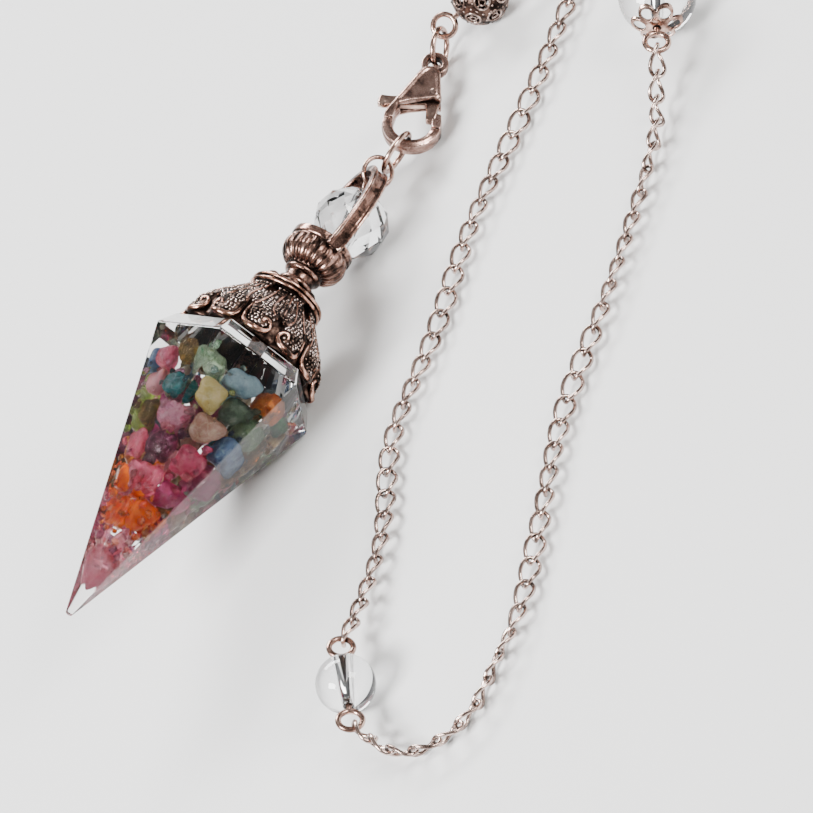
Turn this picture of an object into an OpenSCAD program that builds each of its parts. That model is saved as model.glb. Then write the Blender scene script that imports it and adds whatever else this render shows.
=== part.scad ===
// Pendulum pendant: a six-sided clear point filled with tumbled stones, a petalled cap,
// a fluted bail with a drop bead, rings, a lobster clasp and a beaded curb chain.
// It lies on a surface, as laid down after use. Sizes are in millimetres.

/* [Clear point] */
// Centre of the girdle to one of its six corners
point_r = 9.6; // [8.6:0.1:10.6]
// Length of the pyramid from the girdle to the tip
point_len = 31.4; // [28:0.2:35]
// Radius of the blunt end of the tip
tip_r = 0.4; // [0.3:0.05:0.6]
// Height of the bevelled crown above the girdle
crown_h = 2; // [1.6:0.1:2.6]
// How far the crown's bevel runs in
crown_in = 1.2; // [0.9:0.1:1.5]
// Tilt of the point as it lies, with the tip in the air
lie_tilt = 8.3; // [7:0.1:9.5]
// Direction in which the cap's end lies
lie_heading = 24; // [20:1:28]

/* [Stones] */
// Clear resin between the stones and the faces of the point
stone_wall = 0.55; // [0.45:0.05:0.9]
// Room round each stone in its pocket
stone_gap = 0.17; // [0.14:0.01:0.2]
// Clear resin under the girdle's plane
stone_top = 0.7; // [0.7:0.1:1.5]

/* [Petal cap] */
// Outer radius of the cap's scalloped edge
cap_r = 7.85; // [7.6:0.05:8.1]
// Height of the cap from the crown to its collar plate
cap_h = 8; // [7:0.1:9]
// Number of petals
petals = 6; // [5:1:8]
// How far the petals stand out of the cap
petal_rise = 0.55; // [0.4:0.05:0.8]
// Radius of the collar plate
plate_r = 4; // [3.6:0.1:4.4]

/* [Fluted bail] */
// Radius of the ringed neck
neck_r = 2; // [1.8:0.1:2.2]
// Length of the neck between the plate and the cup
neck_len = 3.6; // [3.2:0.1:4.2]
// Radius of the fluted cup
cup_r = 3.55; // [3.3:0.05:3.9]
// Height of the fluted cup
cup_h = 3.7; // [3.3:0.1:4.2]
// Number of flutes round the cup
flutes = 24; // [16:2:28]
// Half width of the arch, to the middle of its strap
arch_r = 4.6; // [4.55:0.05:4.9]
// Height of the arch over the cup, to the middle of its strap
arch_h = 9.7; // [9.5:0.1:10.6]
// Width of the arch's strap
strap_w = 1.7; // [1.4:0.05:1.8]
// Thickness of the arch's strap
strap_t = 0.6; // [0.5:0.05:0.7]
// Turn of the arch about the point's own axis
arch_turn = 248; // [244:1:252]

/* [Beads] */
// Diameter of the facetted drop bead in the arch
drop_d = 7.9; // [7.2:0.1:8]
// How much shorter the drop bead is along its hole than the arch is high
drop_short = 2.9; // [2.8:0.1:3.4]
// Diameter of the small clear bead in the middle of the chain
small_d = 6; // [5.4:0.1:6.6]
// Diameter of the large clear bead at the end of the chain
large_d = 8; // [7.4:0.1:8.6]
// Diameter of the openwork metal bead next to the clasp
metal_d = 6.2; // [5.8:0.1:6.6]
// Wall of the openwork metal bead
metal_wall = 0.5; // [0.4:0.05:0.6]
// Diameter of the hole through each bead
hole_d = 1.1; // [1:0.05:1.3]
// Wire of the pins through the beads
pin_wire = 0.6; // [0.5:0.05:0.7]
// Radius of the pins' end loops, to the middle of the wire
loop_r = 1.2; // [1.15:0.05:1.4]
// Number of loops round each flower cap
cap_loops = 6; // [5:1:8]

/* [Rings and clasp] */
// Radius of the small ring on the arch, to the middle of the wire
bail_ring_r = 1.55; // [1.5:0.05:1.8]
// Wire of the small ring on the arch
bail_ring_wire = 0.48; // [0.4:0.02:0.5]
// Radius of the large ring on the clasp, to the middle of the wire
clasp_ring_r = 2.3; // [2.2:0.05:2.6]
// Radius of the ring between clasp and metal bead, to the middle of the wire
link_ring_r = 2.05; // [1.9:0.05:2.3]
// Wire of the two larger rings
ring_wire = 0.6; // [0.5:0.05:0.65]
// Length of the clasp without its eye
clasp_len = 10.4; // [10:0.1:11.4]
// Width of the clasp
clasp_w = 6.1; // [5.8:0.1:6.6]
// Thickness of the clasp's housing
clasp_t = 2.2; // [2:0.1:2.6]
// Width of the bar round the clasp's hook
hook_bar = 0.95; // [0.85:0.05:1.1]
// Thickness of the lever
lever_t = 0.8; // [0.7:0.05:0.9]
// Diameter of the lever's pivot
pivot_d = 0.7; // [0.6:0.05:0.8]

/* [Chain] */
// Wire of the chain's links
chain_wire = 0.4; // [0.36:0.02:0.44]
// Length of a link between the middles of its ends
link_len = 3.4; // [3.2:0.02:3.6]
// Width of a link between the middles of its sides
link_w = 2.05; // [1.9:0.05:2.15]
// Turn of each end of a link out of the middle plane
link_twist = 45; // [38:1:50]
// How far the links roll to and fro along the chain as it lies
roll_wave = 16; // [0:2:30]

/* [Hidden] */
$fn = 48;

// Small clearance between pieces that touch
gap = 0.1;
// How far joined shapes run into each other, and how far a cut runs past what it cuts
overlap = 0.1;
past = 1;
// Keeps faces that would coincide apart
hair = 0.02;
// Clearance under the cap and under the bail's neck
seat_gap = 0.05;
copper = [0.62, 0.43, 0.36];
glass = [0.9, 0.93, 0.96];

// The point's own frame: its axis is Z, the girdle is at zero and the tip is below
flat_r = point_r * cos(30);
crown_r = point_r - crown_in;
girdle_at = [-17.2, 16.5, flat_r * cos(lie_tilt)];
cap_z = crown_h + seat_gap;
plate_z = cap_z + cap_h;
plate_t = 0.7;
neck_z = plate_z + plate_t;
cup_z = neck_z + neck_len;
cup_top = cup_z + cup_h;
arch_top = cup_top + arch_h;

// Works in the point's own frame, then lays it on the surface
function turned(p, a) = [p.x * cos(a) - p.y * sin(a), p.x * sin(a) + p.y * cos(a), p.z];
function tipped(p, a) = [p.x * cos(a) + p.z * sin(a), p.y, p.z * cos(a) - p.x * sin(a)];
function lain(p) = girdle_at + turned(tipped(turned(p, arch_turn), 90 + lie_tilt), lie_heading);
module lie() {
    translate(girdle_at)
        rotate([0, 90 + lie_tilt, lie_heading])
            children();
}
module in_arch() {
    lie()
        rotate([0, 0, arch_turn])
            children();
}

// Works in the frame of a piece that points along X: place, heading, tilt up and roll
function along(h, t) = [cos(t) * cos(h), cos(t) * sin(h), sin(t)];
module at(place, pose) {
    translate(place)
        rotate([0, 0, pose[0]])
            rotate([0, -pose[1], 0])
                rotate([pose[2], 0, 0])
                    children();
}

module wire_ring(r, wire) {
    rotate_extrude($fn = 48)
        translate([r, 0])
            circle(d = wire, $fn = 24);
}

// Fixed scatter between 0 and 1 for three counters
function scatter(a, b, c) = let (v = sin(a * 127 + b * 311 + c * 75 + 13) * 437) v - floor(v);

// Stones: the point is divided into floors, each floor into a core and a ring, and one
// stone fills each cell. Columns: the floor's top and bottom as shares of the filled
// depth, radius of the core as a share of the room, kinds of the stones in the core and
// round it: p pink, r rose, g green, b blue, a amber, c cream.
FLOORS = [
    [0.00, 0.12, 0.46, "gcbc", "gcrbpagbagc"],
    [0.12, 0.25, 0.44, "crg", "brgpbcggac"],
    [0.25, 0.38, 0.42, "acp", "rgapcbap"],
    [0.38, 0.52, 0.34, "p", "aprprgc"],
    [0.52, 0.66, 0, "", "aprap"],
    [0.66, 0.82, 0, "", "aarp"],
    [0.82, 1.00, 0.9, "p", ""]];
fill_share = 0.81;
fill_depth = (point_len - stone_top) * fill_share;
floor_turn = 23;

// Radius of the filled space at a height and an angle, which follows the six faces
function room(z, a) = flat_r * (1 + z / point_len) / cos((a + 390) % 60 - 30) - stone_wall;
function depth(share) = -stone_top - share * fill_depth;
// Corner of a cell: edge 0 is next to the axis, 1 the core's edge and 2 the outer edge
axis_share = 0.1;
jog_share = 0.35;
function cell_point(f, share, edge, sector, count) = let (
        jog = jog_share * (scatter(f, sector % count, count) - 0.5),
        a = f * floor_turn + (sector + jog) * 360 / count,
        r = room(depth(share), a) * [axis_share, FLOORS[f][2], 1][edge])
    [r * cos(a), r * sin(a), depth(share)];
function cell(f, low, high, sector, count) = [
    for (share = [FLOORS[f][1], FLOORS[f][0]])
        for (q = [[low, sector], [high, sector], [high, sector + 1], [low, sector + 1]])
            cell_point(f, share, q[0], q[1], count)];
// A single stone on the axis fills a square cell
square_share = 0.86;
function lone_cell(f) = [
    for (share = [FLOORS[f][1], FLOORS[f][0]], k = [0:3])
        let (a = 90 * k + f * floor_turn, r = room(depth(share), 0) * FLOORS[f][2] * square_share)
            [r * cos(a), r * sin(a), depth(share)]];
function middle(pts) = [for (p = pts) 1] * pts / len(pts);

CELL_FACES = [[0, 1, 2, 3], [7, 6, 5, 4], [4, 5, 1, 0], [5, 6, 2, 1], [6, 7, 3, 2], [7, 4, 0, 3]];
outer_face = 3;
corner_share = 0.8;
face_share = 0.86;
// The pockets reach past the cells' faces and so run into each other
pocket_share = 1.12;
// Cell with blunted corners: its corners and the middles of its faces, moved out by grow
module blunted(corners, at_corner, at_faces, grow) {
    c = middle(corners);
    near = [for (p = corners) c + (p - c) * at_corner];
    mids = [for (k = [0:5]) c + (middle([for (i = CELL_FACES[k]) corners[i]]) - c) * at_faces[k]];
    polyhedron([for (p = concat(near, mids)) p + (p - c) / norm(p - c) * grow],
        [for (k = [0:5], e = [0:3])
            [CELL_FACES[k][e], CELL_FACES[k][(e + 1) % 4], 8 + k]]);
}
smallest = 0.85;
spread = 0.09;
pocket_corner = 1.04;
module stone(corners) {
    size = smallest + spread * scatter(corners[0].x, corners[1].y, corners[2].z);
    blunted(corners, corner_share * size, [for (k = [0:5]) face_share * size], 0);
}
module pocket(corners) {
    blunted(corners, corner_share * pocket_corner,
        [for (k = [0:5]) k == outer_face ? 1 : pocket_share], stone_gap);
}
// Cells of the kinds named, each handed to a stone or a pocket
module in_cells(kinds, hollow = false) {
    for (f = [0:len(FLOORS) - 1], ring = [0, 1]) {
        names = FLOORS[f][3 + ring];
        inner = ring == 1 && FLOORS[f][2] > 0 ? 1 : 0;
        for (j = [0:1:len(names) - 1])
            if (len(search(names[j], kinds)) > 0) {
                corners = len(names) == 1 ? lone_cell(f) : cell(f, inner, 1 + ring, j, len(names));
                if (hollow)
                    pocket(corners);
                else
                    stone(corners);
            }
    }
}

peg_r = 0.9;
// The peg's bore runs down to the stones, and a thin sprue goes on between them
peg_end = -0.4;
sprue_r = 0.45;
sprue_end = depth(0.9);
recess_wall = 1.9;
shoulder_wall = 1.6;
recess_low = cap_r - recess_wall;
recess_top = plate_r - shoulder_wall;
recess_h = cap_h * 0.75;
boss_root = 0.3;
module recess(margin) {
    translate([0, 0, crown_h])
        rotate_extrude()
            polygon([[0, -boss_root], [recess_low - margin, -boss_root], [recess_low - margin, seat_gap],
                [recess_top - margin, recess_h - margin], [0, recess_h - margin]]);
}

module clear_point() {
    color([0.86, 0.9, 0.88, 0.4])
        lie()
            difference() {
                union() {
                    rotate([0, 0, 30]) {
                        translate([0, 0, -point_len])
                            cylinder(point_len, tip_r, point_r, $fn = 6);
                        cylinder(crown_h, point_r, crown_r, $fn = 6);
                    }
                    recess(gap);
                }
                in_cells("prgbac", hollow = true);
                translate([0, 0, peg_end - gap])
                    cylinder(crown_h + recess_h - peg_end + past, peg_r + gap, peg_r + gap);
                translate([0, 0, sprue_end])
                    cylinder(peg_end - sprue_end, sprue_r, sprue_r);
            }
}
module pink_stones() {
    color([0.93, 0.6, 0.7])
        lie() in_cells("p");
}
module rose_stones() {
    color([0.72, 0.2, 0.42])
        lie() in_cells("r");
}
module green_stones() {
    color([0.62, 0.76, 0.6])
        lie() in_cells("g");
}
module blue_stones() {
    color([0.25, 0.42, 0.5])
        lie() in_cells("b");
}
module amber_stones() {
    color([0.8, 0.42, 0.1])
        lie() in_cells("a");
}
module cream_stones() {
    color([0.85, 0.8, 0.66])
        lie() in_cells("c");
}

// Cap: a bell with raised petals. Columns: height and radius as shares of cap_h and cap_r
BELL = [[0.06, 1], [0.3, 0.985], [0.5, 0.86], [0.66, 0.73], [0.8, 0.6], [1, 0.46]];
module bell(sink) {
    rotate_extrude()
        polygon(concat([[0, hair], [cap_r * 0.97 - sink, hair]],
            [for (b = BELL) [b[1] * cap_r - sink, b[0] * cap_h]], [[0, cap_h]]));
}
lobe_r = 1.75;
// The petals' sides stay a hair inside the bell's rim, and their rims stand out of them
rim_out = 0.06;
lobe_at = cap_r - lobe_r - rim_out / 2;
lobe_angle = 90 / petals;
rim_wire = 0.55;
rim_sweep = 160;
stem_w = 1.8;
// Plan of one petal: a stem that widens to two lobes
module petal_plan() {
    for (s = [-1, 1])
        rotate(s * lobe_angle)
            translate([lobe_at, 0])
                circle(lobe_r);
    polygon([[plate_r * 0.5, -stem_w / 2], [lobe_at, -lobe_at * sin(lobe_angle) - lobe_r * 0.5],
        [lobe_at, lobe_at * sin(lobe_angle) + lobe_r * 0.5], [plate_r * 0.5, stem_w / 2]]);
}
module petal_cap() {
    color(copper)
        lie()
            difference() {
                union() {
                    translate([0, 0, cap_z]) {
                        bell(petal_rise);
                        intersection() {
                            bell(0);
                            for (k = [0:petals - 1])
                                rotate(k * 360 / petals)
                                    linear_extrude(cap_h)
                                        petal_plan();
                        }
                        for (k = [0:petals - 1], s = [-1, 1])
                            rotate(k * 360 / petals + s * lobe_angle)
                                translate([lobe_at, 0, rim_wire / 2 + rim_out])
                                    rotate(-rim_sweep / 2)
                                        rotate_extrude(angle = rim_sweep)
                                            translate([lobe_r - rim_wire / 2 + rim_out, 0])
                                                circle(d = rim_wire, $fn = 20);
                    }
                    collar();
                }
                recess(0);
                translate([0, 0, crown_h])
                    cylinder(plate_z + neck_len, peg_r + gap, peg_r + gap);
            }
}
// Collar plate with a rounded edge, a cone above it and a ring of small balls
balls = 8;
ball_r = 0.8;
ball_lift = 0.5;
cone_in = 0.5;
cone_rise = 1.1;
cone_top = neck_z + cone_rise;
module collar() {
    translate([0, 0, plate_z - overlap])
        rotate_extrude()
            union() {
                square([plate_r - plate_t / 2, plate_t]);
                translate([plate_r - plate_t / 2, plate_t / 2])
                    circle(plate_t / 2, $fn = 20);
            }
    translate([0, 0, plate_z + plate_t / 2])
        cylinder(cone_top - plate_z - plate_t / 2, plate_r - cone_in, neck_r);
    for (k = [0:balls - 1])
        rotate(k * 360 / balls)
            translate([(plate_r + neck_r) / 2, 0, plate_z + plate_t / 2 + ball_lift])
                sphere(ball_r, $fn = 24);
}

// Bail: peg, ringed neck, fluted cup and arch in one casting. Its seat is the cone's top.
seat_z = cone_top + seat_gap;
// The cup's side is an arc, and so is each flute along it
cup_arc_r = cup_h * 0.5;
cup_arc_z = cup_z + cup_h * 0.49;
flute_r = cup_r * 0.062;
flute_out = 0.05;
flute_from = -82;
flute_sweep = 106;
lip_r = cup_r * 0.97;
lip_h = 0.8;
bowl_r = cup_r * 0.74;
bowl_depth = 0.6;
module cup() {
    difference() {
        union() {
            rotate_extrude()
                intersection() {
                    translate([cup_r - cup_arc_r, cup_arc_z])
                        circle(cup_arc_r);
                    translate([0, cup_z - overlap])
                        square([cup_r + past, cup_h]);
                }
            translate([0, 0, cup_top - lip_h])
                cylinder(lip_h, lip_r, lip_r);
        }
        for (k = [0:flutes - 1])
            rotate((k + 0.5) * 360 / flutes)
                translate([cup_r - cup_arc_r, 0, cup_arc_z])
                    rotate([90, 0, 0])
                        rotate(flute_from)
                            rotate_extrude(angle = flute_sweep)
                                translate([cup_arc_r + flute_out, 0])
                                    circle(flute_r, $fn = 16);
        translate([0, 0, cup_top - bowl_depth])
            cylinder(bowl_depth + past, bowl_r, bowl_r);
    }
}
// Arch in the XZ plane: each side is an arc that stands on the cup's lip and runs through
// the arch's widest place, and a round top arc meets both sides on a tangent
wide_h = arch_h * 0.366;
foot_depth = cup_h * 0.3;
side_run = arch_r - lip_r;
side_drop = wide_h + foot_depth;
side_r = (side_run * side_run + side_drop * side_drop) / (2 * side_run);
side_mid = side_r - arch_r;
top_h = arch_h - wide_h;
cap_arc_r = (side_r * side_r - side_mid * side_mid - top_h * top_h) / (2 * (side_r - top_h));
top_from = acos(side_mid / (side_r - cap_arc_r));
foot_angle = asin(side_drop / side_r);
wide_z = cup_top + wide_h;
arc_z = arch_top - cap_arc_r;
edge_w = 0.32;
edge_rise = 0.12;
edge_slope = 0.08;
// The top arc is a hair thicker, so that it takes the ends of the side arcs in
top_grow = hair;
top_overlap = 4;
// Section of the strap: flat, with a raised edge on each side of the outer face
module strap(grow) {
    back = -strap_t / 2 - grow;
    face = strap_t / 2 + grow;
    half = strap_w / 2 + grow;
    ridge = strap_w / 2 - edge_w - grow;
    polygon([[back, -half], [face + edge_rise, -half], [face + edge_rise, -ridge],
        [face, edge_slope - ridge], [face, ridge - edge_slope], [face + edge_rise, ridge],
        [face + edge_rise, half], [back, half]]);
}
module arc(r, from, to, grow = 0) {
    rotate([90, 0, 0])
        rotate(from)
            rotate_extrude(angle = to - from, $fn = 96)
                translate([r, 0])
                    strap(grow);
}
module arch() {
    translate([0, 0, arc_z])
        arc(cap_arc_r, top_from - top_overlap, 180 - top_from + top_overlap, top_grow);
    for (s = [0, 1])
        mirror([s, 0, 0])
            translate([-side_mid, 0, wide_z])
                arc(side_r, -foot_angle, top_from);
}
neck_ring_wire = 0.7;
neck_ring_low = 0.38;
neck_ring_high = 0.5;
module fluted_bail() {
    color(copper)
        in_arch()
            union() {
                translate([0, 0, peg_end])
                    cylinder(cup_z - peg_end, peg_r, peg_r);
                translate([0, 0, seat_z])
                    cylinder(cup_top - bowl_depth - overlap - seat_z, neck_r * 0.82, neck_r * 0.82);
                for (z = [seat_z + neck_ring_low, cup_z - neck_ring_high])
                    translate([0, 0, z])
                        wire_ring(neck_r * 0.86, neck_ring_wire);
                cup();
                arch();
            }
}

// Small ring round the arch's top, a little to the front of the middle
bail_ring_lean = 12;
bail_ring_out = 0.3;
bail_ring_drop = 0.1;
function on_arch(r, lean, drop) = [r * sin(lean), drop, arc_z + r * cos(lean)];
bail_ring_mid = on_arch(cap_arc_r + bail_ring_out, bail_ring_lean, bail_ring_drop);
module bail_ring() {
    color(copper)
        in_arch()
            translate(bail_ring_mid)
                rotate([0, bail_ring_lean + 90, 0])
                    wire_ring(bail_ring_r, bail_ring_wire);
}

// Facetted drop bead on its head pin, which hangs in the arch from the small ring
// Columns: height as a share of half the length, radius as a share of half the diameter
CUTS = [[1, 0.42], [0.66, 0.82], [0.2, 1], [-0.2, 1], [-0.66, 0.82], [-1, 0.42]];
cut_sides = 10;
pin_eye_r = 0.78;
pin_eye_wire = 0.44;
pin_eye_drop = 0.12;
pin_eye_mid = on_arch(cap_arc_r + bail_ring_out - bail_ring_r - pin_eye_drop, bail_ring_lean, 0);
drop_lean = 14;
drop_side = 8;
drop_room = 0.15;
drop_len = arch_h - drop_short;
drop_down = pin_eye_r + pin_eye_wire / 2 + drop_room + drop_len / 2;
shaft_d = pin_eye_wire + 0.1;
head_t = 0.4;
head_d = 1.7;
module cut_bead(d, long) {
    turn = 180 / cut_sides;
    last = len(CUTS) - 1;
    points = [for (k = [0:last], i = [0:cut_sides - 1])
        let (a = i * 2 * turn + k * turn, r = CUTS[k][1] * d / 2)
            [r * cos(a), r * sin(a), CUTS[k][0] * long / 2]];
    function id(k, i) = k * cut_sides + (i + cut_sides) % cut_sides;
    polyhedron(points, concat([[for (i = [cut_sides - 1:-1:0]) id(0, i)]],
        [[for (i = [0:cut_sides - 1]) id(last, i)]],
        [for (k = [0:last - 1], i = [0:cut_sides - 1]) [id(k, i), id(k, i + 1), id(k + 1, i)]],
        [for (k = [0:last - 1], i = [0:cut_sides - 1]) [id(k + 1, i), id(k, i + 1), id(k + 1, i + 1)]]));
}
module on_drop_pin() {
    in_arch()
        translate(pin_eye_mid)
            rotate([drop_lean, drop_side, 0])
                children();
}
module drop_bead() {
    color(glass)
        on_drop_pin()
            translate([0, 0, -drop_down])
                difference() {
                    cut_bead(drop_d, drop_len);
                    cylinder(drop_len + past, d = hole_d, center = true);
                }
}
module drop_bead_pin() {
    head_top = -drop_down - drop_len / 2 - gap;
    color(copper)
        on_drop_pin() {
            rotate([90, 0, 0])
                wire_ring(pin_eye_r, pin_eye_wire);
            translate([0, 0, head_top - head_t / 2])
                cylinder(head_t / 2 - head_top - pin_eye_r, d = shaft_d);
            translate([0, 0, head_top - head_t])
                cylinder(head_t, d = head_d);
        }
}

// Rings and clasp follow one another from the small ring on the arch
ring_in_up = 0.75;
ring_in_side = 0.25;
ring_in = lain(on_arch(cap_arc_r + bail_ring_out + ring_in_up, bail_ring_lean, ring_in_side));
clasp_ring_pose = [29, -20, -49];
clasp_ring_way = [24.5, -16.3];
clasp_ring_play = 0.05;
clasp_ring_mid = ring_in
    + along(clasp_ring_way[0], clasp_ring_way[1]) * (clasp_ring_r + clasp_ring_play);
module clasp_ring() {
    color(copper)
        at(clasp_ring_mid, clasp_ring_pose)
            wire_ring(clasp_ring_r, ring_wire);
}

// Clasp, with its hook's end at the origin of its own frame, its eye along X and the
// lever's tab on the +Y side
clasp_pose = [38, -4, 36];
// Where the hook hangs in its ring, in shares of the ring's radius
hook_in_ring = [0.31, 0.035, -0.205];
clasp_at = clasp_ring_mid + hook_in_ring * clasp_ring_r;
hook_r = clasp_w / 2;
opening_r = hook_r - hook_bar;
eye_r = 1.4;
eye_hole_r = 0.8;
eye_out = 0.9;
eye_x = clasp_len + eye_out;
shoulder_r = 1.15;
shoulder_x = clasp_len - shoulder_r;
// Outlines in the clasp's plane. Columns: shares of the clasp's length and half width.
// The mouth reaches from the nose to the slanted edge of the housing.
MOUTH = [[0.48, 0.69], [0.625, -0.36], [0.625, -1.3], [0.452, -1.3]];
SLOT = [[0.462, 1.33], [0.462, 0.49], [0.5, -0.98], [0.827, -0.98], [0.827, 0.39], [0.779, 1.33]];
LEVER = [[0.394, -0.656], [0.394, -0.393], [0.577, -0.23], [0.51, 0.525], [0.466, 1.098],
    [0.457, 1.393], [0.5625, 1.393], [0.572, 1.098], [0.61, 0.623], [0.76, -0.197],
    [0.769, -0.426], [0.721, -0.607], [0.635, -0.623]];
function in_plane(p) = [p.x * clasp_len, p.y * hook_r];
pivot_at = in_plane([0.702, -0.361]);
// Corner of the lever's end, which rests in a notch of the hook's nose
arm_end = in_plane(LEVER[0]);
hook_t = clasp_t * 0.65;
module in_clasp() {
    at(clasp_at, clasp_pose)
        children();
}
// Two circles with the flanks that touch both
module drop_shape(r1, x1, r2, x2) {
    a = acos((r1 - r2) / (x2 - x1));
    translate([x1, 0])
        circle(r1);
    translate([x2, 0])
        circle(r2);
    polygon([[x1 + r1 * cos(a), r1 * sin(a)], [x2 + r2 * cos(a), r2 * sin(a)],
        [x2 + r2 * cos(a), -r2 * sin(a)], [x1 + r1 * cos(a), -r1 * sin(a)]]);
}
module clasp_body() {
    color(copper)
        in_clasp()
            difference() {
                union() {
                    linear_extrude(clasp_t, center = true)
                        difference() {
                            drop_shape(hook_r, hook_r, shoulder_r, shoulder_x);
                            translate([hook_r, 0])
                                circle(opening_r);
                            translate([-past, -hook_r])
                                square([hook_r + past, clasp_w]);
                        }
                    linear_extrude(hook_t, center = true)
                        difference() {
                            translate([hook_r, 0])
                                circle(hook_r);
                            translate([hook_r, 0])
                                circle(opening_r);
                        }
                    translate([eye_x, 0, 0])
                        linear_extrude(clasp_t * 0.45, center = true)
                            circle(eye_r);
                }
                // opening with the mouth and the notch in which the lever's end rests
                linear_extrude(clasp_t + past, center = true)
                    polygon(concat([[hook_r, 0], [hook_r, opening_r]],
                        [for (p = MOUTH) in_plane(p)],
                        [[in_plane(MOUTH[3]).x, arm_end.y - gap], arm_end - [gap, gap],
                            [arm_end.x - gap, 0]]));
                // slot for the lever
                linear_extrude(lever_t + 2 * gap, center = true)
                    polygon([for (p = SLOT) in_plane(p)]);
                translate([pivot_at.x, pivot_at.y, 0])
                    cylinder(clasp_t + past, d = pivot_d + hair, center = true);
                translate([eye_x, 0, 0])
                    cylinder(clasp_t, eye_hole_r, eye_hole_r, center = true);
            }
}
// Lever: an arm that closes the mouth, a cross bar and a thumb tab
module clasp_lever() {
    color(copper)
        in_clasp()
            linear_extrude(lever_t, center = true)
                difference() {
                    polygon([for (p = LEVER) in_plane(p)]);
                    translate(pivot_at)
                        circle(d = pivot_d + gap);
                }
}
module clasp_pivot() {
    color(copper)
        in_clasp()
            translate([pivot_at.x, pivot_at.y, 0])
                cylinder(clasp_t, d = pivot_d, center = true);
}

clasp_eye = clasp_at + along(clasp_pose[0], clasp_pose[1]) * eye_x;
link_ring_pose = [33, 12, -68];
link_ring_way = [39, 2];
link_ring_play = 0.19;
link_ring_mid = clasp_eye
    + along(link_ring_way[0], link_ring_way[1]) * (link_ring_r + link_ring_play);
module link_ring() {
    color(copper)
        at(link_ring_mid, link_ring_pose)
            wire_ring(link_ring_r, ring_wire);
}

// Pin through a bead, along X, with an open round loop at each end
pin_neck = 0.35;
// Roll of the loops about their pins
metal_roll = 45;
bead_roll = 35;
// Room for the flower cap between the large bead and its loops
cap_room = 0.45;
function pin_reach(d, extra) = d / 2 + extra + pin_neck + pin_wire / 2 + loop_r;
module looped_pin(d, extra, roll) {
    reach = pin_reach(d, extra);
    rotate([0, 90, 0])
        cylinder(2 * (reach - loop_r), d = pin_wire, center = true);
    for (s = [-1, 1])
        translate([s * reach, 0, 0])
            rotate([roll, 0, 0])
                wire_ring(loop_r, pin_wire);
}
// Ball with a hole along X, solid or with a thin wall
module drilled(d, wall) {
    rotate([0, 90, 0])
        rotate_extrude($fn = 64)
            difference() {
                circle(d / 2);
                circle(d / 2 - wall);
                translate([hole_d / 2 - d, -d])
                    square([d, 2 * d]);
            }
}

// Metal bead: a thin shell with rows of round windows. Columns: row's angle from the
// middle, number of windows, turn of the row
metal_pose = [-12, 0, 0];
in_pin_loop = 0.39;
metal_way = 28;
metal_z = metal_d / 2 + hair;
loop_rise = asin((metal_z - link_ring_mid.z) / (link_ring_r + in_pin_loop));
metal_at = link_ring_mid + along(metal_way, loop_rise) * (link_ring_r + in_pin_loop)
    + along(metal_pose[0], metal_pose[1]) * pin_reach(metal_d, 0);
ROWS = [[-40, 6, 30], [0, 8, 22], [40, 6, 30]];
window_r = 0.75;
module metal_bead() {
    color(copper)
        at(metal_at, metal_pose)
            difference() {
                drilled(metal_d, metal_wall);
                for (row = ROWS, k = [0:row[1] - 1])
                    rotate([row[2] + k * 360 / row[1], 0, 0])
                        rotate([0, row[0], 0])
                            translate([0, 0, metal_d / 2 - 2 * metal_wall])
                                cylinder(4 * metal_wall, window_r, window_r);
            }
}
module metal_bead_pin() {
    color(copper)
        at(metal_at, metal_pose)
            looped_pin(metal_d, 0, metal_roll);
}

small_at = [-31.4, -24, small_d / 2 + hair];
small_pose = [63, 0, 0];
large_at = [40.6, 12.6, large_d / 2 + hair];
large_pose = [54, 0, 0];
module small_bead() {
    color(glass)
        at(small_at, small_pose)
            drilled(small_d, small_d / 2);
}
module small_bead_pin() {
    color(copper)
        at(small_at, small_pose)
            looped_pin(small_d, 0, bead_roll);
}
module large_bead() {
    color(glass)
        at(large_at, large_pose)
            drilled(large_d, large_d / 2);
}
module large_bead_pin() {
    color(copper)
        at(large_at, large_pose)
            looped_pin(large_d, cap_room, bead_roll);
}

// Flower cap on a bead: wire loops round a small washer, cut from a thin dome
flower_gap = 0.06;
flower_t = 0.34;
flower_loop_r = 0.92;
flower_wire = 0.3;
flower_at = 1.75;
washer_lap = 0.25;
module flower_cap() {
    intersection() {
        difference() {
            sphere(d = large_d + 2 * (flower_gap + flower_t), $fn = 64);
            sphere(d = large_d + 2 * flower_gap, $fn = 64);
        }
        rotate([0, 90, 0])
            linear_extrude(large_d) {
                for (k = [0:cap_loops - 1])
                    rotate(k * 360 / cap_loops)
                        translate([flower_at, 0])
                            difference() {
                                circle(flower_loop_r, $fn = 32);
                                circle(flower_loop_r - flower_wire, $fn = 32);
                            }
                difference() {
                    circle(flower_at - flower_loop_r + washer_lap, $fn = 32);
                    circle(pin_wire / 2 + gap, $fn = 32);
                }
            }
    }
}
module lower_bead_cap() {
    color(copper)
        at(large_at, large_pose)
            mirror([1, 0, 0])
                flower_cap();
}
module upper_bead_cap() {
    color(copper)
        at(large_at, large_pose)
            flower_cap();
}

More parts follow.
